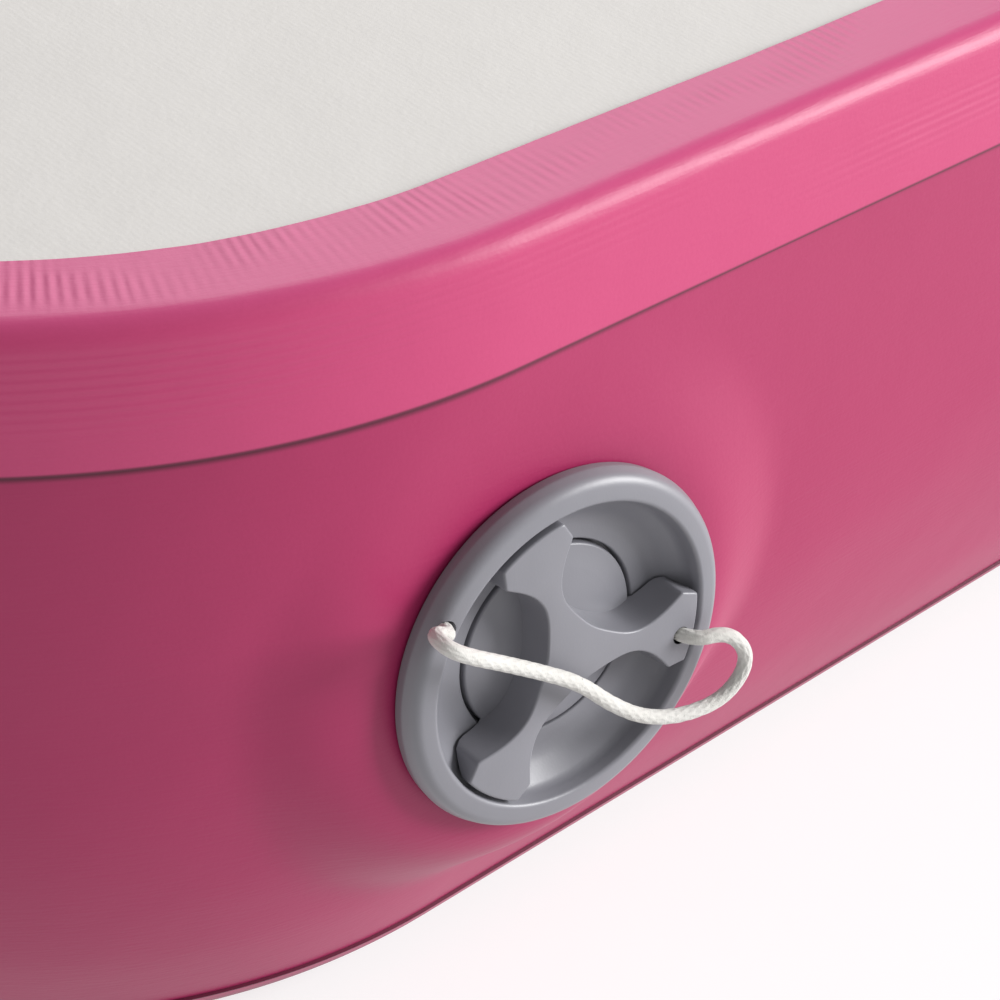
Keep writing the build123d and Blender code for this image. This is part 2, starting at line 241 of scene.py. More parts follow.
class HalfSection:
    """The wall's bulge and bend on one side of its widest line, as in the CAD."""

    def __init__(self, skin_height, belly, bend):
        self.way = 1 if skin_height > WIDEST_HEIGHT else -1
        self.skin_height, self.belly_radius, self.bend_radius = skin_height, belly, bend
        rise = abs(skin_height - WIDEST_HEIGHT) - bend
        run = math.sqrt((belly - bend) ** 2 - rise**2)
        self.inset = belly - run
        self.turn = math.atan2(rise, run)

    def points(self, proud, step, low_turn=0.0, flat=0.0, bend_steps=14):
        """From a turn above the widest line to the flat skin, standing proud of the wall's face."""
        places = []
        count = max(2, math.ceil((self.turn - low_turn) * self.belly_radius / step))
        for k in range(count):
            angle = low_turn + (self.turn - low_turn) * k / count
            radius = self.belly_radius + proud
            places.append((self.belly_radius - radius * math.cos(angle), radius * math.sin(angle)))
        centre = (self.inset, abs(self.skin_height - WIDEST_HEIGHT) - self.bend_radius)
        for k in range(bend_steps + 1):
            angle = self.turn + (math.pi / 2 - self.turn) * k / bend_steps
            radius = self.bend_radius + proud
            places.append((centre[0] - radius * math.cos(angle), centre[1] + radius * math.sin(angle)))
        if flat:
            count = math.ceil(flat / 0.0012)
            for k in range(1, count + 1):
                places.append((self.inset + flat * k / count, places[-1][1]))
        return [(inset, WIDEST_HEIGHT + self.way * rise) for inset, rise in places]


TOP = HalfSection(BODY_HIGH, TOP_BELLY, TOP_BEND)
LOW = HalfSection(BODY_LOW, LOW_BELLY, LOW_BEND)
TAPES = (
    ("top_tape", TOP, TOP_TAPE_REACH, "top_edge_tape", 5.0),
    ("low_tape", LOW, LOW_TAPE_REACH, "bottom_edge_tape", 15.0),
)


def section_run(section):
    steps = np.linalg.norm(np.diff(np.array(section), axis=0), axis=1)
    return np.concatenate([[0], np.cumsum(steps)])


def carry_round(section):
    """The grid of points that a section of (inset, height) makes when carried round the mat."""
    section = np.array(section)
    grid = np.empty((len(PLACES), len(section), 3))
    grid[:, :, :2] = PLACES[:, None, :] - section[None, :, :1] * NORMALS[:, None, :]
    grid[:, :, 2] = section[None, :, 1]
    return grid


def run_grid(down):
    run = np.zeros((len(RUNS), len(down), 3))
    run[:, :, 0] = RUNS[:, None]
    run[:, :, 1] = np.asarray(down)[None, :]
    return run.reshape(-1, 3)


def soft_noise(points, size, seed):
    """Smooth noise, -1 to 1, at each point of a grid."""
    flat = points.reshape(-1, 3) / size
    values = [noise.noise(Vector(p) + Vector((seed, 0.37 * seed, 0))) for p in flat]
    return np.array(values).reshape(points.shape[:-1])


def draw_up_to_valve(grid):
    """Lifts the wall round the valve until it lies flat behind the flange.

    Gives the grid, and how far each of its points is from the valve's axis, in millimetres.
    """
    to_valve = np.array(VALVE.inverted())
    local = grid @ to_valve[:3, :3].T + to_valve[:3, 3]
    away = np.hypot(local[..., 0], local[..., 1])
    front = local[..., 2] > -NEAR_WALL
    pull = (1 - smoothstep(FLANGE_RADIUS + 1.0, WALL_PULL, away)) * front
    local[..., 2] += (WALL_MEETS - local[..., 2]) * pull
    back = np.array(VALVE)
    return local @ back[:3, :3].T + back[:3, 3], away


def wall_section():
    return LOW.points(0, 0.0026)[::-1][:-1] + TOP.points(0, 0.0026)


def wall_run_at(height):
    """How far along the wall's section, from its lower end, a height is."""
    section = wall_section()
    return float(np.interp(height, [point[1] for point in section], section_run(section)))


def make_wall():
    section = wall_section()
    grid = carry_round(section)
    out = np.zeros_like(grid)
    out[..., :2] = NORMALS[:, None, :]
    slack = smoothstep(0.004, 0.030, grid[..., 2]) * (1 - smoothstep(0.128, 0.146, grid[..., 2]))
    stretched = grid * np.array([1.0, 1.0, 2.6])
    swell = soft_noise(stretched, 0.085, 3.0) * 0.00055 + soft_noise(stretched, 0.034, 8.0) * 0.00016
    grid = grid + out * (swell * slack)[..., None]
    grid, away = draw_up_to_valve(grid)
    rows, columns = grid.shape[:2]
    wall = add_mesh("wall_band", grid.reshape(-1, 3), grid_faces(rows, columns, True, False))
    set_run(wall, run_grid(section_run(section)))
    open_hole(wall, away.reshape(-1))
    return wall


def open_hole(wall, away):
    """Opens the wall for the valve's neck, and rounds the hole's edge."""
    shape = bmesh.new()
    shape.from_mesh(wall.data)
    shape.verts.ensure_lookup_table()
    to_valve = VALVE.inverted()
    inner = [v for v in shape.verts
             if away[v.index] < WALL_HOLE_RADIUS and abs((to_valve @ v.co).z) < NEAR_WALL]
    bmesh.ops.delete(shape, geom=inner, context="VERTS")
    for vertex in shape.verts:
        local = to_valve @ vertex.co
        radius = math.hypot(local.x, local.y)
        if radius < FLANGE_RADIUS + 2 and abs(local.z) < NEAR_WALL and vertex.is_boundary:
            spread = WALL_HOLE_RADIUS / radius
            vertex.co = VALVE @ Vector((local.x * spread, local.y * spread, local.z))
    shape.to_mesh(wall.data)
    shape.free()


def tape_section(half, reach, proud):
    """One face of a tape, from its free edge on the wall to its free edge on the flat skin."""
    drop = abs(half.skin_height - WIDEST_HEIGHT) - reach
    low_turn = math.asin(drop / half.belly_radius)
    return half.points(proud, 0.0015, low_turn, TAPE_OVERLAP)


def make_tape(name, half, reach, seed):
    """A strip with real thickness, folded over an edge of the mat."""
    outer = tape_section(half, reach, TAPE)
    inner = tape_section(half, reach, 0.00002)[::-1]
    section = outer + inner
    grid = carry_round(section)
    flat_part = smoothstep(half.inset + 0.001, half.inset + TAPE_OVERLAP * 0.9, np.array(section)[:, 0])
    lifted = np.zeros(len(section))
    lifted[: len(outer)] = 1.0
    stretched = grid * np.array([1.0, 1.0, 0.4])
    ripple = soft_noise(stretched, 0.0065, seed) * 0.00010 * flat_part[None, :]
    roll = soft_noise(grid, 0.045, seed + 4) * 0.00022
    out = np.zeros_like(grid)
    out[..., :2] = NORMALS[:, None, :] * (1 - flat_part)[None, :, None]
    out[..., 2] = half.way * flat_part[None, :]
    if half.way > 0:
        grid = grid + out * ((ripple + roll * (1 - flat_part[None, :])) * lifted[None, :])[..., None]
        grid, _ = draw_up_to_valve(grid)
    edge_wander = soft_noise(np.repeat(grid[:, :1], len(section), axis=1), 0.03, seed + 9) * 0.0004
    at_edge = smoothstep(TAPE_OVERLAP * 0.7, TAPE_OVERLAP, np.array(section)[:, 0] - half.inset)
    grid[..., :2] -= NORMALS[:, None, :] * (edge_wander * at_edge[None, :])[..., None]
    rows, columns = grid.shape[:2]
    tape = add_mesh(name, grid.reshape(-1, 3), grid_faces(rows, columns, True, True))
    down = np.concatenate([section_run(outer), np.zeros(len(inner))])
    set_run(tape, run_grid(down))
    return tape


def make_skin(name, half):
    """A flat coated skin. The lower one steps down inside its tape, to lie on the floor."""
    rings = [half.inset + reach for reach in (0.00001, 0.004, 0.008, TAPE_OVERLAP - 0.0005)]
    middle = [half.inset + TAPE_OVERLAP + 0.0005, 0.055, 0.070, 0.090, 0.124]
    middle_height = half.skin_height if half.way > 0 else 0.0
    section = [(inset, half.skin_height) for inset in rings] + [(inset, middle_height) for inset in middle]
    grid = carry_round(section)
    rows, columns = grid.shape[:2]
    inner_ring = tuple(i * columns + columns - 1 for i in range(rows))
    skin = add_mesh(name, grid.reshape(-1, 3), grid_faces(rows, columns, True, False) + [inner_ring])
    shape = bmesh.new()
    shape.from_mesh(skin.data)
    bmesh.ops.triangulate(shape, faces=[f for f in shape.faces if len(f.verts) > 4])
    shape.to_mesh(skin.data)
    shape.free()
    return skin


def thicken(piece, thickness):
    """Gives a sheet its thickness, inwards from the face that shows."""
    shape = bmesh.new()
    shape.from_mesh(piece.data)
    bmesh.ops.recalc_face_normals(shape, faces=shape.faces)
    shape.faces.ensure_lookup_table()
    from_middle = shape.faces[0].calc_center_median() - Vector((0, 0, WIDEST_HEIGHT))
    if from_middle.dot(shape.faces[0].normal) < 0:
        bmesh.ops.reverse_faces(shape, faces=shape.faces)
    shape.to_mesh(piece.data)
    shape.free()
    solid = piece.modifiers.new("thickness", "SOLIDIFY")
    solid.thickness = thickness
    solid.offset = -1
    apply_modifiers(piece)


# Valve


def lathe(profile, segments=192):
    """Vertices and faces of a closed ring turned about the valve's axis, in valve millimetres."""
    vertices = []
    for k in range(segments):
        angle = 2 * math.pi * k / segments
        for radius, height in profile:
            vertices.append((radius * math.cos(angle), radius * math.sin(angle), height))
    return vertices, grid_faces(segments, len(profile), True, True)


def rounded_profile(points, steps=7):
    """A profile of (radius, height, rounding) with its corners turned into arcs."""
    profile = []
    count = len(points)
    for k in range(count):
        before, here, after = (Vector(points[(k + d) % count][:2]) for d in (-1, 0, 1))
        size = points[k][2] if len(points[k]) > 2 else 0
        if not size:
            profile.append(tuple(here))
            continue
        into, away = (before - here).normalized(), (after - here).normalized()
        half_angle = into.angle(away) / 2
        reach = size / math.tan(half_angle)
        centre = here + (into + away).normalized() * size / math.sin(half_angle)
        start, end = here + into * reach - centre, here + away * reach - centre
        turn = start.angle_signed(end)
        for s in range(steps + 1):
            spin = Matrix.Rotation(-turn * s / steps, 2)
            profile.append(tuple(centre + spin @ start))
    return profile


def cut_round_hole(piece, centre, radius, low, high, segments=40):
    """Bores a hole along the valve's axis through a piece that is still in valve millimetres."""
    ring = [(centre[0] + radius * math.cos(2 * math.pi * k / segments),
             centre[1] + radius * math.sin(2 * math.pi * k / segments)) for k in range(segments)]
    vertices = [(x, y, low) for x, y in ring] + [(x, y, high) for x, y in ring]
    faces = [tuple(range(segments))[::-1], tuple(range(segments, 2 * segments))]
    for k in range(segments):
        k2 = (k + 1) % segments
        faces.append((k, k2, segments + k2, segments + k))
    cutter = add_mesh("cutter", vertices, faces)
    cut = piece.modifiers.new("hole", "BOOLEAN")
    cut.operation, cut.solver, cut.object = "DIFFERENCE", "EXACT", cutter
    apply_modifiers(piece)
    bpy.data.objects.remove(cutter)


def make_flange():
    profile = rounded_profile([
        (14.0, -24.0), (19.0, -24.0), (19.0, -10.9), (24.0, -10.9), (24.0, FLANGE_BACK),
        (29.8, FLANGE_BACK, 0.3), (30.0, 2.4, 1.2), (29.1, 4.9, 2.2), (25.35, 5.3, 0.75), (24.7, 2.3, 2.6),
        (20.6, -0.9, 6.0), (16.5, -1.2, 0.35), (16.35, -3.2), (15.7, -3.2, 0.2), (15.7, -12.0), (14.0, -12.0),
    ])
    vertices, faces = lathe(profile, 240)
    flange = add_mesh("valve_flange_shell", vertices, faces)
    cut_round_hole(flange, RIM_HOLE, HOLE_RADIUS, 1.0, 7.0)
    flange.data.transform(VALVE)
    tidy_normals(flange, 38)
    return flange


def spline_through(points, count):
    """A natural cubic curve through points, sampled evenly between them."""
    points = np.array(points, dtype=float)
    gaps = np.linalg.norm(np.diff(points, axis=0), axis=1)
    knots = np.concatenate([[0], np.cumsum(gaps)])
    size = len(points)
    system, right = np.eye(size), np.zeros_like(points)
    for i in range(1, size - 1):
        system[i, i - 1 : i + 2] = gaps[i - 1], 2 * (gaps[i - 1] + gaps[i]), gaps[i]
        right[i] = 6 * ((points[i + 1] - points[i]) / gaps[i] - (points[i] - points[i - 1]) / gaps[i - 1])
    bend = np.linalg.solve(system, right)
    curve = []
    for at in np.linspace(0, knots[-1], count):
        i = min(int(np.searchsorted(knots, at, side="right")) - 1, size - 2)
        gap, a, b = gaps[i], (knots[i + 1] - at) / gaps[i], (at - knots[i]) / gaps[i]
        curve.append(a * points[i] + b * points[i + 1]
                     + ((a**3 - a) * bend[i] + (b**3 - b) * bend[i + 1]) * gap**2 / 6)
    return curve


def polar(radius, degrees):
    return (radius * math.cos(math.radians(degrees)), radius * math.sin(math.radians(degrees)))


def points_between(start, stop, shares):
    start, stop = np.array(start), np.array(stop)
    return [tuple(start * (1 - share) + stop * share) for share in shares]


def knob_outline():
    """Three flared lobes joined by hollow curves."""
    outline = []
    for turn in range(3):
        lobe = LOBE_ANGLE + 120 * turn
        spread = np.linspace(-LOBE_END_HALF_ANGLE, LOBE_END_HALF_ANGLE, 19)
        end = [polar(LOBE_END, lobe + a) for a in spread]
        shoulder_out = polar(LOBE_SHOULDER, lobe - LOBE_SHOULDER_HALF_ANGLE)
        shoulder_back = polar(LOBE_SHOULDER, lobe + LOBE_SHOULDER_HALF_ANGLE)
        outline += points_between(shoulder_out, end[0], (0.0, 0.06, 0.14, 0.5, 0.86, 0.94))
        outline += end
        outline += points_between(end[-1], shoulder_back, (0.06, 0.14, 0.5, 0.86, 0.94))
        hollow = [
            shoulder_back,
            polar(17.6, lobe + 12.6),
            polar(12.4, lobe + 8.6),
            polar(7.4, lobe + 24),
            polar(5.5, lobe + 60),
            polar(7.4, lobe + 96),
            polar(12.4, lobe + 111.4),
            polar(17.6, lobe + 107.4),
            polar(LOBE_SHOULDER, lobe + 120 - LOBE_SHOULDER_HALF_ANGLE),
        ]
        outline += [tuple(p) for p in spline_through(hollow, 46)[:-1]]
    return np.array(outline)


def ease_corners(outline, times):
    for _ in range(times):
        outline = (np.roll(outline, 1, axis=0) + 2 * outline + np.roll(outline, -1, axis=0)) / 4
    return outline


def outline_normals(outline):
    along = np.roll(outline, -1, axis=0) - np.roll(outline, 1, axis=0)
    along /= np.linalg.norm(along, axis=1)[:, None]
    return np.stack([along[:, 1], -along[:, 0]], axis=1)


def knob_mesh():
    """The knob: a flat top with rounded edges and walls that lean out towards the disc."""
    outline = ease_corners(knob_outline(), 1)
    normals = outline_normals(outline)
    radii = np.linalg.norm(outline, axis=1)
    base = np.interp(radii, [0, 15.8, 16.4, 20.5, 23.0, 24.6], [-1.0, -1.4, -0.9, -0.3, 1.6, 3.7])
    round_edge = 0.38
    rings = []
    for t in (0.0, 0.15, 0.4, 0.7, 1.0):
        lean = 0.75 * (1 - t) ** 2 * (1 - smoothstep(20.0, 23.5, radii))[:, None]
        heights = base + (KNOB_TOP - round_edge - base) * t
        rings.append(np.column_stack([outline + normals * lean, heights]))
    for k in range(1, 6):
        angle = math.pi / 2 * k / 5
        back = round_edge * (1 - math.cos(angle))
        height = KNOB_TOP - round_edge * (1 - math.sin(angle))
        rings.append(np.column_stack([outline - normals * back, np.full(len(outline), height)]))
    count = len(outline)
    vertices = np.concatenate(rings)
    faces = grid_faces(len(rings), count, False, True)
    faces.append(tuple(range(count))[::-1])
    faces.append(tuple(range((len(rings) - 1) * count, len(rings) * count)))
    return vertices, faces


def cap_body_profile():
    return rounded_profile([
        (0.001, 0.3), (6.0, 0.1, 4.0), (12.0, -0.5, 6.0), (15.86, -1.0, 0.45),
        (15.9, -3.1), (13.3, -3.1), (13.3, -13.4), (12.3, -13.4), (12.3, -15.2), (13.3, -15.2),
        (13.3, -16.0), (10.4, -16.0), (10.4, -3.6, 0.6), (0.001, -3.6),
    ])


def lug_mesh(middle):
    """One bayonet lug on the cap's plug."""
    low, high = -10.6, -8.6
    angles = np.radians(np.linspace(middle - 12, middle + 12, 13))
    vertices = []
    for height in (low, high):
        for radius in (12.6, 15.2):
            vertices += [(radius * math.cos(a), radius * math.sin(a), height) for a in angles]
    n = len(angles)
    loops = [0, n, 3 * n, 2 * n]
    faces = []
    for k in range(n - 1):
        for a, b in zip(loops, loops[1:] + loops[:1]):
            faces.append((a + k, b + k, b + k + 1, a + k + 1))
    faces.append(tuple(loops))
    faces.append(tuple(start + n - 1 for start in loops)[::-1])
    return vertices, faces


def make_cap():
    vertices, faces = knob_mesh()
    cap = add_mesh("turn_cap", vertices, faces)
    cut_round_hole(cap, LOBE_HOLE, HOLE_RADIUS, -4.0, 9.0)
    shape = bmesh.new()
    shape.from_mesh(cap.data)
    extra = [lathe(cap_body_profile(), 160)] + [lug_mesh(120 * k) for k in range(3)]
    for vertices, faces in extra:
        added = [shape.verts.new(v) for v in vertices]
        for face in faces:
            shape.faces.new([added[i] for i in face])
    bmesh.ops.remove_doubles(shape, verts=shape.verts, dist=0.004)
    bmesh.ops.triangulate(shape, faces=[f for f in shape.faces if len(f.verts) > 4])
    shape.to_mesh(cap.data)
    shape.free()
    cap.data.transform(VALVE)
    tidy_normals(cap, 32)
    return cap


# Tether


def route_points():
    """Points read from the tether's own smooth spline."""
    curve = bpy.data.curves.new("route", "CURVE")
    curve.dimensions = "3D"
    curve.resolution_u = 24
    spline = curve.splines.new("NURBS")
    spline.points.add(len(TETHER_ROUTE) - 1)
    for point, corner in zip(spline.points, TETHER_ROUTE):
        point.co = (*(VALVE @ Vector(corner)), 1.0)
    spline.order_u = 3
    spline.use_endpoint_u = True
    line = bpy.data.objects.new("route", curve)
    bpy.context.scene.collection.objects.link(line)
    bpy.context.view_layer.update()
    mesh = bpy.data.meshes.new_from_object(line)
    points = np.array([v.co[:] for v in mesh.vertices])
    bpy.data.objects.remove(line)
    return points


def evenly(points, step):
    gaps = np.linalg.norm(np.diff(points, axis=0), axis=1)
    at = np.concatenate([[0], np.cumsum(gaps)])
    wanted = np.linspace(0, at[-1], max(2, int(at[-1] / step)))
    return np.stack([np.interp(wanted, at, points[:, k]) for k in range(3)], axis=1), wanted


def braided_tube(name, points, start_run):
    """A round braid: strands that cross each other leave low diamonds on the surface."""
    line, runs = evenly(points, 0.00016)
    radius = CORD_RADIUS * MM
    sides, strands = 56, 7
    tangents = np.gradient(line, axis=0)
    tangents /= np.linalg.norm(tangents, axis=1)[:, None]
    side = Vector(tangents[0]).orthogonal().normalized()
    vertices = []
    pitch = 2 * math.pi / (2.6 * radius * 2)
    for k, (place, tangent) in enumerate(zip(line, tangents)):
        tangent = Vector(tangent)
        side = (side - tangent * side.dot(tangent)).normalized()
        other = tangent.cross(side)
        twist = (start_run + runs[k]) * pitch * strands / 3.2
        for j in range(sides):
            angle = 2 * math.pi * j / sides
            left = math.cos(strands * angle + twist)
            right = math.cos(strands * angle - twist)
            lift = max(left, right)
            lump = noise.noise(Vector(place) * 900 + Vector((angle, 0, 0))) * 0.012
            size = radius * (0.955 + 0.045 * lift + lump)
            vertices.append(Vector(place) + (side * math.cos(angle) + other * math.sin(angle)) * size)
    rows = len(line)
    faces = grid_faces(rows, sides, False, True)
    faces.append(tuple(range(sides)))
    faces.append(tuple(range((rows - 1) * sides, rows * sides))[::-1])
    tube = add_mesh(name, vertices, faces)
    tidy_normals(tube, 60)
    return tube, line


# Materials


class Look:
    """A material under construction: a principled shader and helpers that add nodes to it."""

    def __init__(self, name, roughness, specular=0.5):
        self.material = bpy.data.materials.new(name)
        self.material.use_nodes = True
        self.tree = self.material.node_tree
        self.shader = self.tree.nodes["Principled BSDF"]
        self.shader.inputs["Roughness"].default_value = roughness
        self.shader.inputs["Specular IOR Level"].default_value = specular
        self.place = self.tree.nodes.new("ShaderNodeTexCoord").outputs["Object"]

    def link(self, source, target):
        self.tree.links.new(source, target)

    def attribute(self, name):
        node = self.tree.nodes.new("ShaderNodeAttribute")
        node.attribute_name = name
        return node.outputs["Vector"]

    def stretch(self, vector, scale, turn=0.0):
        node = self.tree.nodes.new("ShaderNodeMapping")
        node.inputs["Scale"].default_value = scale
        node.inputs["Rotation"].default_value = (0, 0, turn)
        self.link(vector, node.inputs["Vector"])
        return node.outputs["Vector"]

    def noise(self, vector, scale, detail=4.0, rough=0.5):
        node = self.tree.nodes.new("ShaderNodeTexNoise")
        node.inputs["Scale"].default_value = scale
        node.inputs["Detail"].default_value = detail
        node.inputs["Roughness"].default_value = rough
        self.link(vector, node.inputs["Vector"])
        return node.outputs["Fac"]

    def bands(self, vector, scale, direction, distortion=0.0):
        node = self.tree.nodes.new("ShaderNodeTexWave")
        node.wave_type = "BANDS"
        node.bands_direction = direction
        node.wave_profile = "SIN"
        node.inputs["Scale"].default_value = scale
        node.inputs["Distortion"].default_value = distortion
        self.link(vector, node.inputs["Vector"])
        return node.outputs["Fac"]

    def mix(self, factor, low, high):
        node = self.tree.nodes.new("ShaderNodeMix")
        node.data_type = "RGBA"
        node.inputs["A"].default_value = (*low, 1)
        node.inputs["B"].default_value = (*high, 1)
        self.link(factor, node.inputs["Factor"])
        return node.outputs["Result"]

    def tint(self, colour, factor, to, share):
        """Moves a colour towards another where the factor is high."""
        node = self.tree.nodes.new("ShaderNodeMix")
        node.data_type = "RGBA"
        self.link(colour, node.inputs["A"])
        node.inputs["B"].default_value = (*to, 1)
        self.link(self.math("MULTIPLY", factor, share), node.inputs["Factor"])
        return node.outputs["Result"]

    def math(self, operation, first, second):
        node = self.tree.nodes.new("ShaderNodeMath")
        node.operation = operation
        for socket, value in zip(node.inputs, (first, second)):
            if isinstance(value, (int, float)):
                socket.default_value = value
            else:
                self.link(value, socket)
        return node.outputs["Value"]

    def window(self, value, low, high):
        """0 below low, 1 above high, with a smooth step between."""
        node = self.tree.nodes.new("ShaderNodeMapRange")
        node.interpolation_type = "SMOOTHSTEP"
        node.inputs["From Min"].default_value = low
        node.inputs["From Max"].default_value = high
        self.link(value, node.inputs["Value"])
        return node.outputs["Result"]

    def part(self, vector, axis):
        node = self.tree.nodes.new("ShaderNodeSeparateXYZ")
        self.link(vector, node.inputs["Vector"])
        return node.outputs[axis]

    def bump(self, height, depth, under=None):
        node = self.tree.nodes.new("ShaderNodeBump")
        node.inputs["Strength"].default_value = 1.0
        node.inputs["Distance"].default_value = depth
        self.link(height, node.inputs["Height"])
        if under is not None:
            self.link(under, node.inputs["Normal"])
        return node.outputs["Normal"]

    def finish(self, colour, normal, roughness=None):
        self.link(colour, self.shader.inputs["Base Color"])
        self.link(normal, self.shader.inputs["Normal"])
        if roughness is not None:
            self.link(roughness, self.shader.inputs["Roughness"])
        return self.material

    def between(self, factor, low, high):
        node = self.tree.nodes.new("ShaderNodeMapRange")
        node.inputs["To Min"].default_value = low
        node.inputs["To Max"].default_value = high
        self.link(factor, node.inputs["Value"])
        return node.outputs["Result"]


def white_vinyl(name):
    look = Look(name, 0.62, 0.35)
    cloud = look.noise(look.place, 7.0, 5.0)
    grain = look.noise(look.place, 900.0, 3.0)
    threads = look.bands(look.place, 320.0, "X", 0.6)
    colour = look.mix(cloud, (0.670, 0.645, 0.625), (0.715, 0.690, 0.665))
    colour = look.tint(colour, grain, (0.55, 0.53, 0.50), 0.12)
    normal = look.bump(threads, 0.000003)
    normal = look.bump(grain, 0.00004, normal)
    normal = look.bump(look.noise(look.place, 22.0, 3.0), 0.0006, normal)
    return look.finish(colour, normal, look.between(cloud, 0.58, 0.70))


def coated_fabric(look, run, low, high):
    """The colour and the fine surface that the wall and the tapes share."""
    cloud = look.noise(look.place, 9.0, 4.0)
    grain = look.noise(look.place, 1400.0, 2.0)
    weave = look.noise(look.stretch(run, (160.0, 1500.0, 1.0)), 1.0, 2.0)
    colour = look.tint(look.mix(cloud, low, high), weave, high, 0.35)
    normal = look.bump(grain, 0.00002)
    normal = look.bump(weave, 0.00004, normal)
    normal = look.bump(look.noise(look.place, 30.0, 3.0), 0.0004, normal)
    return colour, normal, look.between(cloud, 0.40, 0.50)


def wall_vinyl(name):
    """Satin fabric, with painted shade: the wall darkens just below the top tape's free edge, where the tape's
    edge would shade it, and stays dark under the tape.
    """
    look = Look(name, 0.45, 0.35)
    run = look.attribute("run")
    colour, normal, rough = coated_fabric(look, run, (0.300, 0.015, 0.075), (0.345, 0.021, 0.098))
    down = look.part(run, "Y")
    # painted shade: darker in a thin band just below the top tape's free edge, and dark above it under the tape
    line = look.window(down, TOP_TAPE_LINE - 0.0013, TOP_TAPE_LINE - 0.0001)
    colour = look.tint(colour, line, (0.05, 0.003, 0.015), 0.9)
    return look.finish(colour, normal, rough)


def tape_vinyl(name):
    """Satin fabric, ribbed along the bend and puckered near the flat edge, with painted light: a lighter flat part
    as painted highlight, painted shade at the free cut edge, and painted shade on the low tape.
    """
    look = Look(name, 0.42, 0.4)
    run = look.attribute("run")
    colour, normal, rough = coated_fabric(look, run, (0.420, 0.034, 0.122), (0.470, 0.045, 0.148))
    down = look.part(run, "Y")
    # painted highlight: the tape's flat part is lighter, for the light and sheen its upward face catches
    colour = look.tint(colour, look.window(down, 0.0195, 0.0250), (0.60, 0.082, 0.235), 0.8)
    # painted shade: the tape darkens at its free cut edge, and on its hidden inner face
    cut = look.math("SUBTRACT", 1.0, look.window(down, 0.0001, 0.0006))
    colour = look.tint(colour, cut, (0.06, 0.004, 0.018), 0.9)
    # painted shade: the low tape, the lowest 6 to 13 mm of the mat, is darkened
    under = look.math("SUBTRACT", 1.0, look.window(look.part(look.place, "Z"), 0.006, 0.013))
    colour = look.tint(colour, under, (0.12, 0.008, 0.030), 0.8)
    ribs = look.bands(look.stretch(run, (9.0, 216.0, 1.0)), 1.0, "Y", 0.8)
    patches = look.window(look.noise(look.stretch(run, (7.0, 30.0, 1.0)), 1.0, 2.0), 0.42, 0.62)
    above = look.math("SUBTRACT", 1.0, look.window(down, 0.0165, 0.0195))
    below = look.window(down, 0.003, 0.010)
    ribs = look.math("MULTIPLY", ribs, look.math("MULTIPLY", patches, look.math("MULTIPLY", above, below)))
    normal = look.bump(ribs, 0.00008, normal)
    folds = look.bands(look.stretch(run, (165.0, 20.0, 1.0)), 1.0, "X", 1.5)
    uneven = look.window(look.noise(look.stretch(run, (40.0, 90.0, 1.0)), 1.0, 2.0), 0.35, 0.70)
    folds = look.math("MULTIPLY", folds, look.math("MULTIPLY", uneven, look.window(down, 0.0225, 0.0300)))
    normal = look.bump(folds, 0.00008, normal)
    return look.finish(colour, normal, rough)


def grey_plastic(name):
    look = Look(name, 0.42, 0.5)
    cloud = look.noise(look.place, 60.0, 3.0)
    grain = look.noise(look.place, 2600.0, 2.0)
    colour = look.mix(cloud, (0.180, 0.178, 0.200), (0.205, 0.203, 0.226))
    normal = look.bump(grain, 0.000012)
    normal = look.bump(look.noise(look.place, 240.0, 2.0), 0.00003, normal)
    return look.finish(colour, normal, look.between(cloud, 0.36, 0.44))


def braided_cord(name):
    look = Look(name, 0.85, 0.3)
    look.shader.inputs["Sheen Weight"].default_value = 0.2
    look.shader.inputs["Sheen Roughness"].default_value = 0.5
    cloud = look.noise(look.place, 180.0, 3.0)
    fibres = look.noise(look.place, 3600.0, 3.0, 0.6)
    colour = look.mix(cloud, (0.52, 0.505, 0.47), (0.61, 0.60, 0.58))
    normal = look.bump(fibres, 0.00012)
    return look.finish(colour, normal, look.between(cloud, 0.8, 0.92))


def simple_look(name, low, high, roughness, metallic=0.0, scale=90.0):
    look = Look(name, roughness, 0.5)
    look.shader.inputs["Metallic"].default_value = metallic
    cloud = look.noise(look.place, scale, 4.0)
    normal = look.bump(look.noise(look.place, scale * 14, 2.0), 0.00003)
    rough = look.between(cloud, roughness * 0.9, roughness * 1.1)
    return look.finish(look.mix(cloud, low, high), normal, rough)


TOP_TAPE_LINE = wall_run_at(BODY_HIGH - TOP_TAPE_REACH)

LOOKS = {
    "top_vinyl": white_vinyl("white_vinyl"),
    "bottom_vinyl": white_vinyl("underside_vinyl"),
    "wall_vinyl": wall_vinyl("wall_vinyl"),
    "tape_vinyl": tape_vinyl("tape_vinyl"),
    "yarn": simple_look("polyester_yarn", (0.70, 0.69, 0.66), (0.80, 0.79, 0.77), 0.8),
    "valve_plastic": grey_plastic("grey_plastic"),
    "seal_rubber": simple_look("black_rubber", (0.012, 0.012, 0.012), (0.022, 0.022, 0.022), 0.6),
    "spring_steel": simple_look("spring_steel", (0.50, 0.50, 0.50), (0.62, 0.62, 0.62), 0.3, 1.0),
    "cord_braid": braided_cord("white_braid"),
}


def give_look(piece, slot):
    piece.data.materials.clear()
    piece.data.materials.append(LOOKS[slot])


def dress_cad_nodes():
    slots = {entry["node"]: entry["material_slot"] for entry in frame["record"]["subparts"]}
    for node, piece in frame["nodes"].items():
        for index in range(len(piece.material_slots)):
            piece.material_slots[index].material = LOOKS[slots[node]]


# Assembly


def show(piece, body, slot, *nodes):
    give_look(piece, slot)
    if body:
        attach(piece, body)
    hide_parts(*nodes)


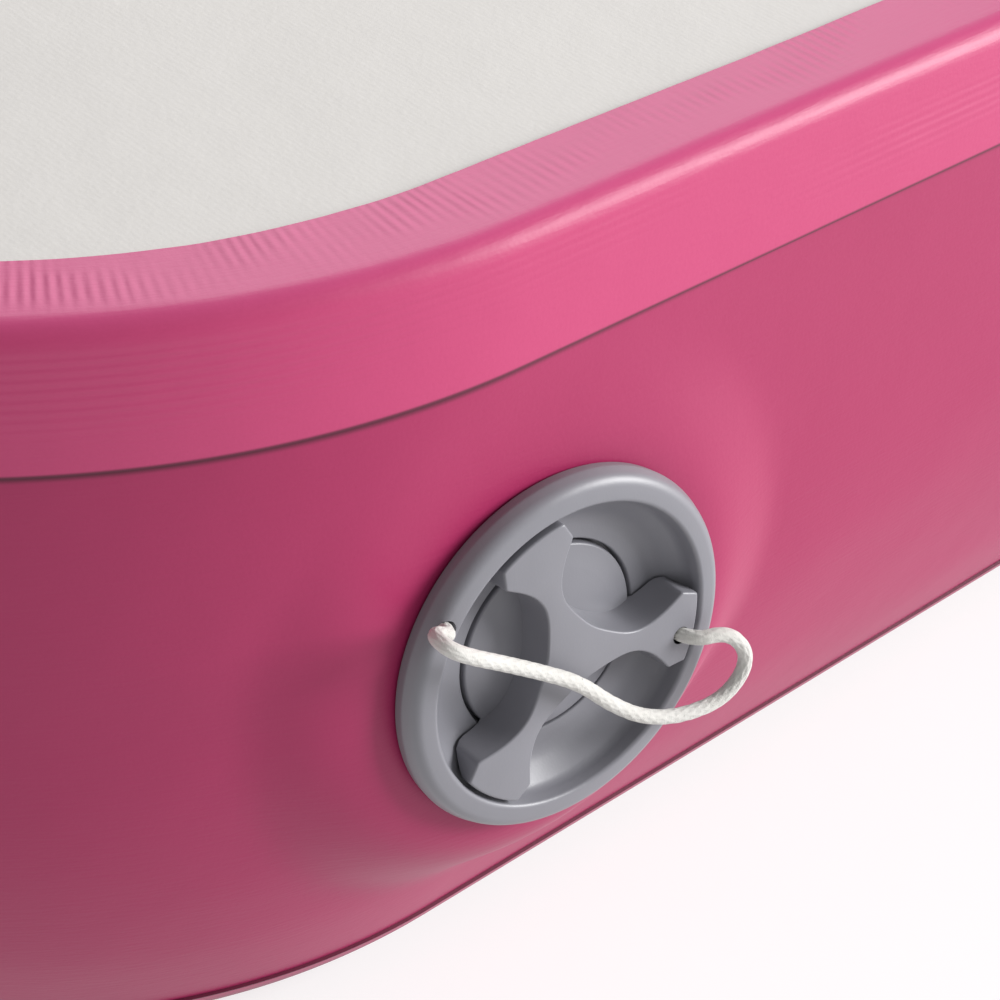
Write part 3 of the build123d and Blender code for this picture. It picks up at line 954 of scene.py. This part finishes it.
def build_mat():
    wall = make_wall()
    thicken(wall, SKIN)
    tidy_normals(wall, 50)
    show(wall, "mat", "wall_vinyl", "side_wall")
    for name, half, node in (("top_sheet", TOP, "top_skin"), ("bottom_sheet", LOW, "bottom_skin")):
        skin = make_skin(name, half)
        thicken(skin, SKIN)
        tidy_normals(skin, 50)
        show(skin, "mat", "top_vinyl" if half is TOP else "bottom_vinyl", node)
    for name, half, reach, node, seed in TAPES:
        tape = make_tape(name, half, reach, seed)
        tidy_normals(tape, 50)
        show(tape, "mat", "tape_vinyl", node)
        width = section_run(tape_section(half, reach, TAPE))[-1]


def build_valve():
    show(make_flange(), "mat", "valve_plastic", "valve_flange")
    show(make_cap(), "cap", "valve_plastic", "valve_cap")


def squash_spring():
    """Gives the plunger's spring a mesh of its own."""
    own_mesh(frame["nodes"]["plunger_spring"])


def build_tether():
    points = route_points()
    to_valve = np.array(VALVE.inverted())
    local = points @ to_valve[:3, :3].T + to_valve[:3, 3]
    split = int(np.argmin(np.hypot(local[:, 0], local[:, 1])))
    above_rim = VALVE @ Vector((*RIM_HOLE, TETHER_FREE))
    halves = (("tether_flange_half", points[: split + 1], ("mat", "cap_slide"), above_rim),
              ("tether_cap_half", points[split:], ("cap_slide", "cap"), Vector(points[-1])))
    start_run = 0.0
    for name, part, bodies, follows_from in halves:
        tube, line = braided_tube(name, part, start_run)
        length = float(np.linalg.norm(np.diff(line, axis=0), axis=1).sum())
        start_run += length
        show(tube, None, "cord_braid", "tether_cord")
        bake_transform(tube)
        print(name, round(length * 1000, 1), "mm")


def build_stage():
    corners = [(x * 30, y * 30, -0.0004) for x, y in ((-1, -1), (1, -1), (1, 1), (-1, 1))]
    floor = add_mesh("floor", corners, [(0, 1, 2, 3)])
    look = Look("floor", 0.8, 0.2)
    pale = look.mix(look.noise(look.place, 1.5, 2.0), (0.34, 0.34, 0.34), (0.36, 0.36, 0.36))
    look.shader.inputs["Emission Color"].default_value = (1.0, 1.0, 1.0, 1)
    look.shader.inputs["Emission Strength"].default_value = 0.68
    look.finish(pale, look.bump(look.noise(look.place, 40.0, 2.0), 0.0001))
    floor.data.materials.append(look.material)
    world = bpy.data.worlds.new("studio")
    world.use_nodes = True
    world.node_tree.nodes["Background"].inputs["Color"].default_value = (1.0, 1.0, 1.0, 1)
    world.node_tree.nodes["Background"].inputs["Strength"].default_value = 0.44
    bpy.context.scene.world = world
    bpy.context.scene.view_settings.view_transform = "Standard"


def add_light(name, away, size, power):
    """A square lamp, placed away from the valve and turned to face it."""
    light = bpy.data.lights.new(name, "AREA")
    light.size = size
    light.energy = power
    lamp = bpy.data.objects.new(name, light)
    lamp.location = VALVE.translation + Vector(away)
    lamp.rotation_euler = (-Vector(away)).to_track_quat("-Z", "Y").to_euler()
    bpy.context.scene.collection.objects.link(lamp)


def add_camera(place, heading, down, roll, focal):
    """heading is clockwise from +Y, down is below the horizon; focal is in widths of the picture."""
    camera = bpy.data.cameras.new("camera")
    camera.sensor_width = 36.0
    camera.lens = focal * camera.sensor_width
    camera.clip_start = 0.01
    eye = bpy.data.objects.new("camera", camera)
    ahead = Vector((math.sin(heading) * math.cos(down), math.cos(heading) * math.cos(down), -math.sin(down)))
    right = Vector((math.cos(heading), -math.sin(heading), 0))
    up = right.cross(ahead)
    rolled_right = right * math.cos(roll) + up * math.sin(roll)
    rolled_up = up * math.cos(roll) - right * math.sin(roll)
    eye.matrix_world = Matrix((rolled_right, rolled_up, -ahead)).transposed().to_4x4()
    eye.location = place
    bpy.context.scene.collection.objects.link(eye)
    bpy.context.scene.camera = eye


dress_cad_nodes()
build_mat()
build_valve()
build_tether()
squash_spring()
build_stage()
add_light("key", (2.0, -1.5, 0.8), 1.2, 106)
add_light("back", (1.5, 1.6, 1.6), 1.4, 24)
add_camera((-0.5901, -1.7180, 0.3322), 0.7675, 0.6369, 0.0564, 2.651)
